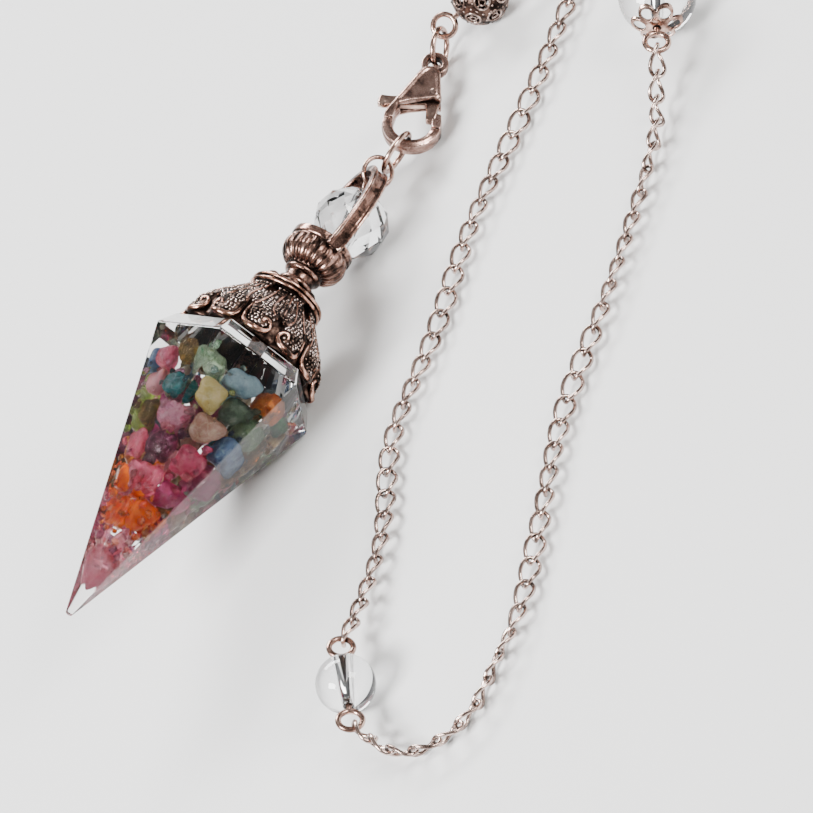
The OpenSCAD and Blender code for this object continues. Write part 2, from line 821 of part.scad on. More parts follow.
// Chain: curb links laid along a route. A strand's route is a few points chosen by hand,
// after the loop that its first link hangs in and before the loop of its last link.
UPPER_ROUTE = [[37.6, 37.4, 2.5], [40.7, 37.8, 1.7], [43.7, 35.8, 1], [43.8, 32.5, 1],
    [41.3, 29.8, 1], [37.5, 28.2, 1], [34.9, 27.1, 1], [23.3, 20.3, 0.9], [10.8, 13.9, 0.9],
    [0.7, 6.5, 0.9], [-10.3, -0.1, 0.9], [-17.9, -9.3, 1], [-23.2, -14.2, 1.4],
    [-26.5, -17.3, 2.3]];
LOWER_ROUTE = [[35.2, 5.7, 3.3], [31.9, 3.1, 1.9], [29.9, 0.7, 1.5], [23.1, -4.2, 1],
    [13.1, -11.2, 1], [2.1, -18.2, 0.9], [-7.9, -27.6, 0.9], [-14.4, -33.4, 1], [-20, -36.4, 1.1],
    [-25, -38.8, 1.1], [-30.1, -37.6, 1.2], [-32.6, -35.4, 1.6], [-33.4, -32.8, 2.2]];
// The wires of five-sided links and rolled links come nearer than their middles say
link_gap = 1.9 * gap;
hook_depth = (chain_wire + pin_wire) / 2 + 1.8 * gap;
// A pin's loop on the side s of its bead: middle and normal
function loop_of(place, pose, d, extra, roll, s) = [
    place + along(pose[0], pose[1]) * s * pin_reach(d, extra),
    turned(tipped([0, -sin(roll), cos(roll)], -pose[1]), pose[0])];

function unit(v) = v / norm(v);
// The loop's wire where a link from the next point hooks in, and the wire's direction there
function hooked(loop, next) = let (d = next - loop[0], e = unit(d - (d * loop[1]) * loop[1]),
    wire = loop[0] + e * loop_r)
    [wire - unit(next - wire) * hook_depth, unit(next - wire), cross(loop[1], e)];
// Roll that lets a link cross that wire; s is 1 for the first link and -1 for the last
end_turn = 9;
function cross_roll(way, wire, s) = let (h = atan2(way.y, way.x), left = [-sin(h), cos(h), 0],
    angle = atan2(wire * cross(way, left), wire * left) + 90 + s * (link_twist - end_turn))
    ((angle + 90) % 180 + 180) % 180 - 90;

// Points of a smooth curve through the route, and the place at a distance along it
function blend(a, b, c, d, t) = (2 * b + (c - a) * t + (2 * a - 5 * b + 4 * c - d) * t * t
    + (3 * b - a - 3 * c + d) * t * t * t) / 2;
steps = 8;
function smooth(p) = let (n = len(p) - 1) concat(
    [for (i = [0:n - 1], s = [0:steps - 1])
        blend(p[max(0, i - 1)], p[i], p[i + 1], p[min(n, i + 2)], s / steps)], [p[n]]);
function lengths(p, i = 0, sum = 0) = i == len(p) ? [] :
    let (now = sum + (i == 0 ? 0 : norm(p[i] - p[i - 1]))) concat([now], lengths(p, i + 1, now));
function place(p, l, s, i = 1) = i == len(p) - 1 || l[i] >= s
    ? p[i - 1] + (p[i] - p[i - 1]) * (s - l[i - 1]) / (l[i] - l[i - 1])
    : place(p, l, s, i + 1);

link_steps = 12;
wire_sides = 5;
// Step along the oval that gives the wire's direction
way_step = 5;
// Share of the place along the link by which the wire's section follows the ends' bend
end_share = 0.55;
// One link about its own middle: an oval whose two ends are turned opposite ways
function link_at(t, roll) = let (x = cos(t), a = roll + link_twist * x)
    [x * link_len / 2, sin(t) * cos(a) * link_w / 2, sin(t) * sin(a) * link_w / 2];
module link(pose, mid) {
    points = [for (i = [0:link_steps - 1]) let (
            t = i * 360 / link_steps, c = link_at(t, pose[2]),
            way = link_at(t + way_step, pose[2]) - link_at(t - way_step, pose[2]),
            ahead = way / norm(way), out = [c.x * end_share, c.y, c.z], flat = out - (out * ahead) * ahead,
            side = flat / norm(flat), up = cross(ahead, side))
        for (k = [0:wire_sides - 1]) let (a = k * 360 / wire_sides)
            mid + turned(tipped(c + (side * cos(a) + up * sin(a)) * chain_wire / 2, -pose[1]), pose[0])];
    function id(i, k) = (i % link_steps) * wire_sides + k % wire_sides;
    polyhedron(points, [for (i = [0:link_steps - 1], k = [0:wire_sides - 1], h = [0, 1])
        h == 0 ? [id(i, k), id(i + 1, k), id(i, k + 1)]
            : [id(i, k + 1), id(i + 1, k), id(i + 1, k + 1)]]);
}
// Links between two loops. The links next to a loop are rolled so that they cross its wire.
fade = 12;
// Step of the roll's wave from link to link, and how many links it takes to swell
wave_step = 45;
wave_rise = 5;
module strand(first, route, last) {
    head = hooked(first, route[0]);
    tail = hooked(last, route[len(route) - 1]);
    first_roll = cross_roll(head[1], head[2], 1);
    last_roll = cross_roll(-tail[1], tail[2], -1);
    path = smooth(concat([head[0]], route, [tail[0]]));
    marks = lengths(path);
    reach = marks[len(marks) - 1];
    count = ceil((reach - link_len) / (link_len - chain_wire - link_gap)) + 1;
    pitch = (reach - link_len) / (count - 1);
    for (n = [0:count - 1]) {
        a = place(path, marks, n * pitch);
        b = place(path, marks, n * pitch + link_len);
        way = unit(b - a);
        left = count - 1 - n;
        wave = roll_wave * sin(n * wave_step) * min(1, n / wave_rise, left / wave_rise);
        roll = first_roll * max(0, 1 - n / fade) + last_roll * max(0, 1 - left / fade) + wave;
        link([atan2(way.y, way.x), asin(way.z), roll], (a + b) / 2);
    }
}
module upper_chain() {
    color(copper)
        strand(loop_of(metal_at, metal_pose, metal_d, 0, metal_roll, 1), UPPER_ROUTE,
            loop_of(small_at, small_pose, small_d, 0, bead_roll, 1));
}
module lower_chain() {
    color(copper)
        strand(loop_of(large_at, large_pose, large_d, cap_room, bead_roll, -1), LOWER_ROUTE,
            loop_of(small_at, small_pose, small_d, 0, bead_roll, -1));
}

clear_point();
pink_stones();
rose_stones();
green_stones();
blue_stones();
amber_stones();
cream_stones();
petal_cap();
fluted_bail();
drop_bead();
drop_bead_pin();
bail_ring();
clasp_ring();
clasp_body();
clasp_lever();
clasp_pivot();
link_ring();
metal_bead();
metal_bead_pin();
upper_chain();
small_bead();
small_bead_pin();
lower_chain();
large_bead();
lower_bead_cap();
upper_bead_cap();
large_bead_pin();
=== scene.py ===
import math
import random
import bpy
import bmesh
import numpy as np
from mathutils import Matrix, Vector, noise
from mathutils.bvhtree import BVHTree
from mathutils.kdtree import KDTree


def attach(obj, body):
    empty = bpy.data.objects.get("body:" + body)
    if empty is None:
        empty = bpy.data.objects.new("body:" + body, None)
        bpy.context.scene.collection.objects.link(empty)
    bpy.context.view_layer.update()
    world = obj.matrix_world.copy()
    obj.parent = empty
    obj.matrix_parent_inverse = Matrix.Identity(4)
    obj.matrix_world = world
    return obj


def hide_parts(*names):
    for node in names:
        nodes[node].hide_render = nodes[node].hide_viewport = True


# A pendulum pendant that lies on a pale floor. Written lengths are in mm and written angles in
# degrees where no comment or name says otherwise, and MM turns mm into Blender's metres.
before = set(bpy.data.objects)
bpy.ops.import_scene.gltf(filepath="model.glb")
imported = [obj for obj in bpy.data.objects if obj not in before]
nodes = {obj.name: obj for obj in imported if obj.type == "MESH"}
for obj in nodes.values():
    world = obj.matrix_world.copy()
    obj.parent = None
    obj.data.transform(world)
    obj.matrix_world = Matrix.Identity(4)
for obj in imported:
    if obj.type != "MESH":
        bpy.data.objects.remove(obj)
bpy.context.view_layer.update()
MM = 0.001
rng = np.random.default_rng(7)


def placed(name, data):
    """A new object with this data, in the scene."""
    ob = bpy.data.objects.new(name, data)
    bpy.context.scene.collection.objects.link(ob)
    return ob


# Camera: a long lens at the photo's angle over the floor, rolled as the photo is
TARGET = Vector((-7.4, 2.5, 0)) * MM
ELEVATION = math.radians(38)
ROLL = math.radians(-47.5)
DISTANCE_M = 0.707
LENS = 310
SENSOR = 36
CLIP_FROM_M = 0.05
CLIP_TO_M = 10
back = Vector((0, -math.cos(ELEVATION), math.sin(ELEVATION)))
level_up = Vector((0, math.sin(ELEVATION), math.cos(ELEVATION)))
across = Vector((1, 0, 0))
right = math.cos(ROLL) * across + math.sin(ROLL) * level_up
up = math.cos(ROLL) * level_up - math.sin(ROLL) * across
cam_data = bpy.data.cameras.new("camera")
cam_data.lens = LENS
cam_data.sensor_width = SENSOR
cam_data.clip_start = CLIP_FROM_M
cam_data.clip_end = CLIP_TO_M
camera = placed("camera", cam_data)
facing = Matrix((right, up, back)).transposed().to_4x4()
camera.matrix_world = Matrix.Translation(TARGET + back * DISTANCE_M) @ facing
bpy.context.scene.camera = camera


class Tree:
    """A material's nodes, made and joined in one call each."""

    def __init__(self, name):
        self.mat = bpy.data.materials.new(name)
        self.mat.use_nodes = True
        self.nt = self.mat.node_tree
        self.nt.nodes.clear()
        output = self.add("OutputMaterial")
        self.bsdf = self.add("BsdfPrincipled")
        self.nt.links.new(self.bsdf.outputs[0], output.inputs["Surface"])
        self.place = self.add("TexCoord").outputs["Object"]

    def add(self, kind, **props):
        node = self.nt.nodes.new("ShaderNode" + kind)
        for prop, value in props.items():
            setattr(node, prop, value)
        return node

    def feed(self, node, **values):
        """Set or link a node's inputs, each called by its name or by _ and its number."""
        for key, value in values.items():
            socket = node.inputs[int(key[1:]) if key[0] == "_" else key.replace("_", " ")]
            if isinstance(value, bpy.types.NodeSocket):
                self.nt.links.new(value, socket)
            else:
                socket.default_value = value
        return node

    def noise(self, size_mm, detail, rough=0.6):
        """Clouds of this size, from 0 to 1."""
        n = self.feed(self.add("TexNoise"), Vector=self.place, Scale=1 / (size_mm * MM))
        return self.feed(n, Detail=detail, Roughness=rough).outputs[0]

    def cells(self, size_mm, feature="F1", at=None):
        """Distance from the cells' middles, or from their borders."""
        n = self.add("TexVoronoi", feature=feature)
        return self.feed(n, Vector=at or self.place, Scale=1 / (size_mm * MM)).outputs["Distance"]

    def ramp(self, fac, *stops):
        """Colours by a value, each stop a position and a colour."""
        n = self.feed(self.add("ValToRGB"), Fac=fac)
        elements = n.color_ramp.elements
        while len(elements) < len(stops):
            elements.new(0.5)
        for element, (position, color) in zip(elements, stops):
            element.position = position
            element.color = (*color, 1)
        return n.outputs[0]

    def level(self, fac, low, high, out_low=0.0, out_high=1.0):
        """The range low to high, stretched onto the range out_low to out_high."""
        n = self.feed(self.add("MapRange"), Value=fac, From_Min=low, From_Max=high)
        return self.feed(n, To_Min=out_low, To_Max=out_high).outputs[0]

    def math(self, op, a, b):
        """One sum or product of two values."""
        return self.feed(self.add("Math", operation=op), _0=a, _1=b).outputs[0]

    def mix(self, fac, a, b, blend="MIX"):
        """Two colours mixed, each one a socket or three numbers."""
        n = self.add("Mix", data_type="RGBA", blend_type=blend)
        a, b = (c if isinstance(c, bpy.types.NodeSocket) else (*c, 1) for c in (a, b))
        return self.feed(n, _0=fac, _6=a, _7=b).outputs[2]

    def bump(self, height, depth_mm, strength, under=None):
        """Fine relief of this depth, over the relief under it."""
        n = self.feed(self.add("Bump"), Height=height, Distance=depth_mm * MM, Strength=strength)
        if under is not None:
            self.feed(n, Normal=under)
        return n.outputs[0]


AO_SAMPLES = 6


def copper(name, bright, mid, dark, reach_mm, patina, rough, edge_mm=0.0):
    """Antiqued metal: bright where it is rubbed, blotched, and dark in its recesses, by patina and by
    painted shade.

    The recesses' painted shade and patina reach reach_mm, patina is the strength of the blotches, and
    edges are rubbed brighter than the faces over a width of edge_mm.
    """
    t = Tree(name)
    # painted shade, with patina: the AO node finds where the surface is sunk in, as far as reach_mm
    shade = t.feed(t.add("AmbientOcclusion", samples=AO_SAMPLES), Distance=reach_mm * MM)
    blotch = t.level(t.noise(1.3, 4, 0.65), 0.36, 0.6, 1 - patina, 1.0)
    # lightness: painted shade and patina in the recesses, times the patina's blotches
    wear_patina_and_painted_shade = t.math("MULTIPLY", t.level(shade.outputs["AO"], 0.4, 0.97), blotch)
    if edge_mm:
        inner = t.add("AmbientOcclusion", samples=AO_SAMPLES, inside=True, only_local=True)
        thin = t.feed(inner, Distance=edge_mm * MM).outputs["AO"]
        wear_patina_and_painted_shade = t.math("MULTIPLY", wear_patina_and_painted_shade, t.level(thin, 0.6, 0.97, 1.0, 0.66))
    color = t.ramp(wear_patina_and_painted_shade, (0.0, dark), (0.38, dark), (0.62, mid), (0.95, bright))
    specks = t.noise(0.16, 3, 0.7)
    color = t.mix(t.level(specks, 0.6, 0.8, 0, 0.6), color, dark)
    dull = t.level(wear_patina_and_painted_shade, 0.1, 0.9, rough + 0.26, rough)
    dull = t.math("ADD", dull, t.level(specks, 0.3, 0.8, -0.03, 0.08))
    relief = t.bump(t.noise(0.5, 4), 0.02, 0.8)
    relief = t.bump(t.noise(0.09, 2), 0.006, 0.6, relief)
    t.feed(t.bsdf, Base_Color=color, Metallic=1.0, Roughness=dull, Normal=relief)
    return t.mat


m_copper = copper("antique_copper", (0.86, 0.62, 0.54), (0.44, 0.27, 0.22), (0.03, 0.018, 0.015),
                  reach_mm=0.9, patina=0.36, rough=0.16, edge_mm=0.35)
m_bail = copper("bail_copper", (0.88, 0.62, 0.52), (0.36, 0.2, 0.155), (0.016, 0.01, 0.008),
                reach_mm=0.6, patina=0.5, rough=0.14, edge_mm=0.3)
m_field = copper("field_copper", (0.14, 0.085, 0.066), (0.04, 0.024, 0.019), (0.008, 0.005, 0.004),
                 reach_mm=0.5, patina=0.8, rough=0.3)
m_wire = copper("copper_wire", (0.68, 0.47, 0.39), (0.31, 0.185, 0.148), (0.04, 0.024, 0.019),
                reach_mm=0.35, patina=0.5, rough=0.16)
m_scroll = copper("scroll_copper", (0.8, 0.48, 0.37), (0.34, 0.17, 0.12), (0.02, 0.011, 0.008),
                  reach_mm=0.4, patina=0.7, rough=0.16)
m_chain = copper("chain_copper", (0.68, 0.52, 0.46), (0.3, 0.215, 0.185), (0.035, 0.024, 0.02),
                 reach_mm=0.35, patina=0.5, rough=0.14)
m_grain = copper("granulated_copper", (0.95, 0.8, 0.74), (0.3, 0.2, 0.16), (0.006, 0.004, 0.003),
                 reach_mm=0.24, patina=0.6, rough=0.12)
m_openwork = copper("openwork_metal", (0.8, 0.62, 0.55), (0.3, 0.2, 0.165), (0.02, 0.013, 0.01),
                    reach_mm=0.4, patina=0.6, rough=0.17)


def clear(name, tint, ior, wave_mm=0.0, rough=0.0):
    """Clear resin or glass, with shallow waves and pits where wave_mm is given."""
    t = Tree(name)
    t.feed(t.bsdf, Base_Color=(*tint, 1), Roughness=rough, IOR=ior, Transmission_Weight=1.0)
    if wave_mm:
        relief = t.bump(t.noise(3.5, 2), wave_mm, 0.5)
        relief = t.bump(t.cells(0.9), 0.004, 0.25, relief)
        t.feed(t.bsdf, Normal=relief)
    return t.mat


m_resin = clear("clear_resin", (0.985, 0.99, 0.975), 1.5, wave_mm=0.05, rough=0.02)
m_glass = clear("clear_glass", (0.98, 0.985, 0.99), 1.5, wave_mm=0.012)
m_cut = clear("cut_glass", (0.98, 0.985, 0.99), 1.52)

SPECK_COLOR = (0.05, 0.03, 0.02)


def stone(name, clarity, vein):
    """Tumbled stone: its own colour from the attribute tone, depth, clouds, veins and specks."""
    t = Tree(name)
    tone = t.add("Attribute", attribute_name="tone").outputs["Color"]
    color = t.mix(t.level(t.noise(1.9, 4), 0.4, 0.68, 0.0, 0.85), tone, tone, "MULTIPLY")
    color = t.mix(t.level(t.noise(0.9, 5, 0.7), 0.52, 0.8, 0.0, 0.5), color, vein)
    # the veins wander, because the cells that they border are shifted by a noise
    wander = t.feed(t.add("TexNoise"), Vector=t.place, Scale=900.0).outputs[1]
    shift = t.feed(t.add("VectorMath", operation="SCALE"), _0=wander, Scale=1.2 * MM).outputs[0]
    place = t.feed(t.add("VectorMath", operation="ADD"), _0=t.place, _1=shift).outputs[0]
    border = t.cells(1.7, "DISTANCE_TO_EDGE", place)
    color = t.mix(t.level(border, 0.0, 0.06, 0.2, 0.0), color, vein)
    color = t.mix(t.level(t.noise(0.22, 2), 0.64, 0.76, 0, 0.5), color, SPECK_COLOR)
    relief = t.bump(t.noise(0.5, 4), 0.05, 0.8)
    t.feed(t.bsdf, Base_Color=color, Roughness=0.22, Normal=relief, IOR=1.38)
    t.feed(t.bsdf, Transmission_Weight=clarity, Subsurface_Weight=0.15)
    t.feed(t.bsdf, Subsurface_Scale=0.8 * MM, Subsurface_Radius=(1, 0.8, 0.7))
    return t.mat


def obj_from(name, verts, faces, mat):
    """A smooth piece of the pendant from corners in metres and faces."""
    me = bpy.data.meshes.new(name)
    me.from_pydata([tuple(v) for v in verts], [], [tuple(f) for f in faces])
    me.validate()
    me.materials.append(mat)
    me.polygons.foreach_set("use_smooth", [True] * len(me.polygons))
    ob = placed(name, me)
    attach(ob, "pendant")
    return ob


def bake(ob):
    """Apply an object's modifiers to its mesh."""
    graph = bpy.context.evaluated_depsgraph_get()
    me = bpy.data.meshes.new_from_object(ob.evaluated_get(graph))
    ob.modifiers.clear()
    ob.data = me


def corners(me, what="co"):
    """The places of a mesh's corners, or their normals, one in a row."""
    rows = np.empty(len(me.vertices) * 3)
    me.vertices.foreach_get(what, rows)
    return rows.reshape(-1, 3)


def merged(node):
    """Corners in mm and faces of a CAD node, with split corners joined."""
    me = nodes[node].data
    places, number = np.unique(np.round(corners(me) / MM, 3), axis=0, return_inverse=True)
    number = number.reshape(-1)
    faces = []
    for p in me.polygons:
        f = [int(number[v]) for v in p.vertices]
        if len(set(f)) == len(f):
            faces.append(f)
    return places, faces


def edges_of(faces):
    """Edges of the faces, each one once."""
    return {(min(a, b), max(a, b)) for f in faces for a, b in zip(f, f[1:] + f[:1])}


def groups(count, pairs):
    """The numbers below count in groups that the pairs connect."""
    root = list(range(count))

    def find(a):
        while root[a] != a:
            root[a] = root[root[a]]
            a = root[a]
        return a
    for a, b in pairs:
        root[find(a)] = find(b)
    out = {}
    for i in range(count):
        out.setdefault(find(i), []).append(i)
    return list(out.values())


def gathered(pieces):
    """Many pieces as one list of corners and one of faces."""
    verts, faces, base = [], [], 0
    for v, f in pieces:
        verts.append(v)
        faces += [tuple(i + base for i in q) for q in f]
        base += len(v)
    return np.concatenate(verts), faces


def middle(node):
    """Middle of a CAD node's box, and the box's size."""
    places, _ = merged(node)
    low, high = places.min(0), places.max(0)
    return (low + high) / 2, high - low


def rot(axis, deg):
    """Matrix of a turn about an axis."""
    return np.array(Matrix.Rotation(math.radians(deg), 3, axis))


# The point's own frame, as in the CAD source: its axis is Z and the girdle is at zero
POINT_R = 9.6
POINT_LEN = 31.4
TIP_R = 0.4
CROWN_H = 2.0
CROWN_IN = 1.2
TILT = 8.3
HEADING = 24
FLAT_R = POINT_R * math.cos(math.radians(30))
GIRDLE = np.array([-17.2, 16.5, FLAT_R * math.cos(math.radians(TILT))])
LIE = rot("Z", HEADING) @ rot("Y", 90 + TILT)


def lain(p):
    """From the point's own frame to the scene's, both in mm."""
    return p @ LIE.T + GIRDLE


def upright(p):
    """From the scene's frame to the point's own, both in mm."""
    return (p - GIRDLE) @ LIE


def soften(name, node, voxel, smooth, mat, body="pendant", push=0.0, relief=()):
    """A cast, rounded copy of a CAD node: fused with its relief, remeshed and smoothed.

    Smoothing thins what is slender, and push moves the surface out again.
    """
    verts, faces = gathered([merged(node), *relief])
    me = bpy.data.meshes.new(name)
    me.from_pydata([tuple(v) for v in verts], [], faces)
    me.materials.append(mat)
    ob = placed(name, me)
    remesh = ob.modifiers.new("remesh", "REMESH")
    remesh.mode = "VOXEL"
    remesh.voxel_size = voxel
    remesh.use_smooth_shade = True
    rounding = ob.modifiers.new("smooth", "SMOOTH")
    rounding.factor = 0.5
    rounding.iterations = smooth
    bake(ob)
    me = ob.data
    if push:
        me.vertices.foreach_set("co", (corners(me) + corners(me, "normal") * push).reshape(-1))
    me.transform(Matrix.Scale(MM, 4))
    me.update()
    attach(ob, body)
    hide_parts(node)
    return ob


def curve(a, b, c, d, t):
    """The smooth curve through a, b, c and d, at a share t of the way from b to c."""
    bend = 2 * a - 5 * b + 4 * c - d
    twist = 3 * b - a - 3 * c + d
    return (2 * b + (c - a) * t + bend * t * t + twist * t ** 3) / 2


def unit(rows):
    """The same ways with a length of 1."""
    return rows / np.linalg.norm(rows, axis=-1, keepdims=True)


def circle(side, top, sides):
    """Ways from a middle to the corners of a ring that starts at side and turns to top."""
    a = np.arange(sides) * 2 * np.pi / sides
    return side[..., None, :] * np.cos(a)[:, None] + top[..., None, :] * np.sin(a)[:, None]


def walls(pairs, sides):
    """Faces between the two rings of each pair, seen from outside."""
    steps = [(k, (k + 1) % sides) for k in range(sides)]
    rings = [(i * sides, j * sides) for i, j in pairs]
    return [(i + k, i + m, j + m, j + k) for i, j in rings for k, m in steps]


def rod(points, radii, sides=8, parts=4):
    """A smooth wire through the points with a radius at each, closed at both ends."""
    last = len(points) - 1
    places, thick = [], []
    for i in range(last):
        a, b, c, d = (np.asarray(points[min(max(i + k, 0), last)], float) for k in (-1, 0, 1, 2))
        for step in range(parts + (i == last - 1)):
            t = step / parts
            places.append(curve(a, b, c, d, t))
            thick.append(radii[i] * (1 - t) + radii[i + 1] * t)
    places = np.array(places)
    ahead = unit(np.gradient(places, axis=0))
    # the first ring starts anywhere across the wire, each next one where the one before does
    side = np.cross(ahead[0], (0.31, 0.17, 0.93))
    starts = []
    for d in ahead:
        side = unit(side - (side @ d) * d)
        starts.append(side)
    starts = np.array(starts)
    rings = circle(starts, np.cross(ahead, starts), sides) * np.array(thick)[:, None, None]
    v = (places[:, None] + rings).reshape(-1, 3)
    # each end closes in a blunt point
    tail = places[0] - ahead[0] * thick[0] * 0.7
    head = places[-1] + ahead[-1] * thick[-1] * 0.7
    far = len(v) - sides
    f = walls([(i, i + 1) for i in range(len(places) - 1)], sides)
    f += [(len(v), (k + 1) % sides, k) for k in range(sides)]
    f += [(len(v) + 1, far + k, far + (k + 1) % sides) for k in range(sides)]
    return np.concatenate([v, [tail, head]]), f


def tube(centres, radius, sides, parts):
    """A closed smooth wire through the centres."""
    count = len(centres)
    places = []
    for i in range(count):
        a, b, c, d = (centres[(i + k) % count] for k in (-1, 0, 1, 2))
        places += [curve(a, b, c, d, step / parts) for step in range(parts)]
    places = np.array(places)
    ahead = unit(np.roll(places, -1, 0) - np.roll(places, 1, 0))
    # rings start towards the outside, and the loop's long axis counts less in that
    out = places - places.mean(0)
    axis = unit(out[np.argmax(np.linalg.norm(out, axis=1))])
    out = out - np.outer(out @ axis, axis) * 0.45
    side = unit(out - (out * ahead).sum(1)[:, None] * ahead)
    v = places[:, None] + circle(side, np.cross(ahead, side), sides) * radius
    f = walls([(i, (i + 1) % len(places)) for i in range(len(places))], sides)
    return v.reshape(-1, 3), f


def dome(place, normal, r):
    """A small half ball on a surface, closed underneath."""
    sides = 6
    # the ring starts anywhere across the normal
    side = unit(np.cross(normal, (0.3, 0.5, 0.81)))
    ring = circle(side, np.cross(normal, side), sides) * r
    rise = normal * r
    foot = place + ring - rise * 0.15
    shoulder = place + ring * 0.74 + rise * 0.62
    v = np.concatenate([foot, shoulder, [place + rise * 0.95]])
    f = walls([(0, 1)], sides)
    f += [(sides + k, sides + (k + 1) % sides, 2 * sides) for k in range(sides)]
    f.append(tuple(reversed(range(sides))))
    return v, f


def above_floor(v):
    """Places in mm to metres, with what would go through the floor pressed flat just over it."""
    v = v * MM
    return np.column_stack((v[:, :2], np.maximum(v[:, 2], 0.01 * MM)))


# radius of the links' wire, and a length between those of the CAD links' edges
CHAIN_WIRE_R = 0.215
RING_EDGE = 0.33


def chain(name, node):
    """Smooth round wires in the place of the CAD links.

    A CAD link is a row of small rings of corners. Edges shorter than RING_EDGE join the
    corners of one ring, longer ones join it to its neighbours in the link.
    """
    places, faces = merged(node)
    edges = edges_of(faces)
    short = [(a, b) for a, b in edges if np.linalg.norm(places[a] - places[b]) < RING_EDGE]
    rings = groups(len(places), short)
    middles = np.array([places[ring].mean(0) for ring in rings])
    ring_of = {i: k for k, ring in enumerate(rings) for i in ring}
    near = {k: set() for k in range(len(rings))}
    for a, b in edges:
        if ring_of[a] != ring_of[b]:
            near[ring_of[a]].add(ring_of[b])
            near[ring_of[b]].add(ring_of[a])
    links, seen = [], set()
    for first in range(len(rings)):
        if first in seen:
            continue
        loop, ahead = [], [first]
        while ahead:
            loop.append(ahead[0])
            seen.add(ahead[0])
            ahead = [k for k in near[loop[-1]] if k not in seen]
        links.append(tube(middles[loop], CHAIN_WIRE_R, 8, 4))
    v, f = gathered(links)
    ob = obj_from(name, v * MM, f, m_chain)
    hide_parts(node)


chain("upper_chain_links", "upper_chain")
chain("lower_chain_links", "lower_chain")


def hull(name, rings, sides, turn, join_flat):
    """Convex piece round regular rings of corners, each with a height and a radius.

    With join_flat, the triangles of each flat side become one face.
    """
    bm = bmesh.new()
    for z, r in rings:
        for k in range(sides):
            a = math.radians(k * 360 / sides + turn)
            bm.verts.new((r * math.cos(a), r * math.sin(a), z))
    bmesh.ops.convex_hull(bm, input=bm.verts)
    if join_flat:
        bmesh.ops.dissolve_limit(bm, angle_limit=0.02, verts=bm.verts, edges=bm.edges)
    me = bpy.data.meshes.new(name)
    bm.to_mesh(me)
    bm.free()
    return placed(name, me)


# the boss under the cap: a low rim, a cone over it, and a part sunk in the crown
BOSS_R = 5.85
BOSS_TOP_R = 2.3
BOSS_H = 5.9
BOSS_RIM = 0.05
BOSS_SUNK = 0.3


def resin():
    """The clear point with finely bevelled edges, and the boss that the cap sits on."""
    crown = (CROWN_H, POINT_R - CROWN_IN)
    ob = hull("clear_resin_point", [(-POINT_LEN, TIP_R), (0, POINT_R), crown], 6, 30, True)
    ob.data.materials.append(m_resin)
    bevel = ob.modifiers.new("bevel", "BEVEL")
    bevel.width = 0.16
    bevel.segments = 3
    bevel.limit_method = "ANGLE"
    bevel.angle_limit = 0.2
    bake(ob)
    foot = [(CROWN_H - BOSS_SUNK, BOSS_R), (CROWN_H + BOSS_RIM, BOSS_R)]
    boss = hull("boss", foot + [(CROWN_H + BOSS_H, BOSS_TOP_R)], 48, 0, False)
    union = ob.modifiers.new("boss", "BOOLEAN")
    union.operation = "UNION"
    union.object = boss
    union.solver = "EXACT"
    bake(ob)
    bpy.data.objects.remove(boss)
    me = ob.data
    me.transform(Matrix(LIE.tolist()).to_4x4())
    me.transform(Matrix.Translation(Vector(GIRDLE)))
    me.transform(Matrix.Scale(MM, 4))
    me.polygons.foreach_set("use_smooth", [False] * len(me.polygons))
    me.update()
    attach(ob, "pendant")
    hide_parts("clear_point")


resin()

# Families of tumbled stones: their tones, the number of each stone's tone, floor by floor
# from the girdle to the tip and round each floor, their clarity and their veins' colour
FAMILIES = {
    "pink": {
        "tones": [(0.78, 0.17, 0.29), (0.64, 0.08, 0.2), (0.84, 0.4, 0.46), (0.6, 0.22, 0.34)],
        "picks": "201310210012",
        "clarity": 0.7,
        "vein": (0.9, 0.62, 0.62),
    },
    "rose": {
        "tones": [(0.36, 0.02, 0.12), (0.58, 0.04, 0.22), (0.2, 0.012, 0.08), (0.5, 0.09, 0.24)],
        "picks": "20302310",
        "clarity": 0.75,
        "vein": (0.68, 0.25, 0.38),
    },
    "green": {
        "tones": [(0.3, 0.42, 0.26), (0.42, 0.55, 0.08), (0.005, 0.17, 0.04), (0.48, 0.6, 0.44),
                  (0.1, 0.16, 0.1)],
        "picks": "4013402410",
        "clarity": 0.75,
        "vein": (0.66, 0.75, 0.56),
    },
    "blue": {
        "tones": [(0.005, 0.11, 0.12), (0.07, 0.12, 0.22), (0.19, 0.28, 0.33), (0.015, 0.08, 0.11)],
        "picks": "310221",
        "clarity": 0.3,
        "vein": (0.24, 0.36, 0.4),
    },
    "amber": {
        "tones": [(0.85, 0.17, 0.002), (0.25, 0.08, 0.012), (0.17, 0.11, 0.015), (0.6, 0.17, 0.01),
                  (0.1, 0.05, 0.015)],
        "picks": "23142130100",
        "clarity": 0.7,
        "vein": (0.75, 0.34, 0.08),
    },
    "cream": {
        "tones": [(0.62, 0.52, 0.24), (0.4, 0.26, 0.14), (0.58, 0.53, 0.42), (0.48, 0.3, 0.24)],
        "picks": "1212021331",
        "clarity": 0.55,
        "vein": (0.74, 0.64, 0.42),
    },
}
# height of one floor of stones
FLOOR_H = 4.2


def ball(level):
    """Corners and faces of a round ball of radius 1."""
    bm = bmesh.new()
    bmesh.ops.create_icosphere(bm, subdivisions=level, radius=1)
    v = np.array([x.co[:] for x in bm.verts])
    f = [[x.index for x in q.verts] for q in bm.faces]
    bm.free()
    return v, f


FINE_BALL = ball(4)
COARSE_BALL = ball(2)


def lumps(ways, waves, shift=(0, 0, 0)):
    """Noise in each way from a middle: the sum of its waves, each with a scale and a height."""
    total = np.zeros(len(ways))
    for scale, height in waves:
        total += [noise.noise(Vector(d) * scale + Vector(shift)) * height for d in ways]
    return total


def flattened(v, draw, least, most):
    """Corners pressed together by a share, along a way of their own."""
    way = Vector((draw.gauss(0, 1), draw.gauss(0, 1), draw.gauss(0, 1))).normalized()
    return v - np.outer(v @ way, way) * draw.uniform(least, most)


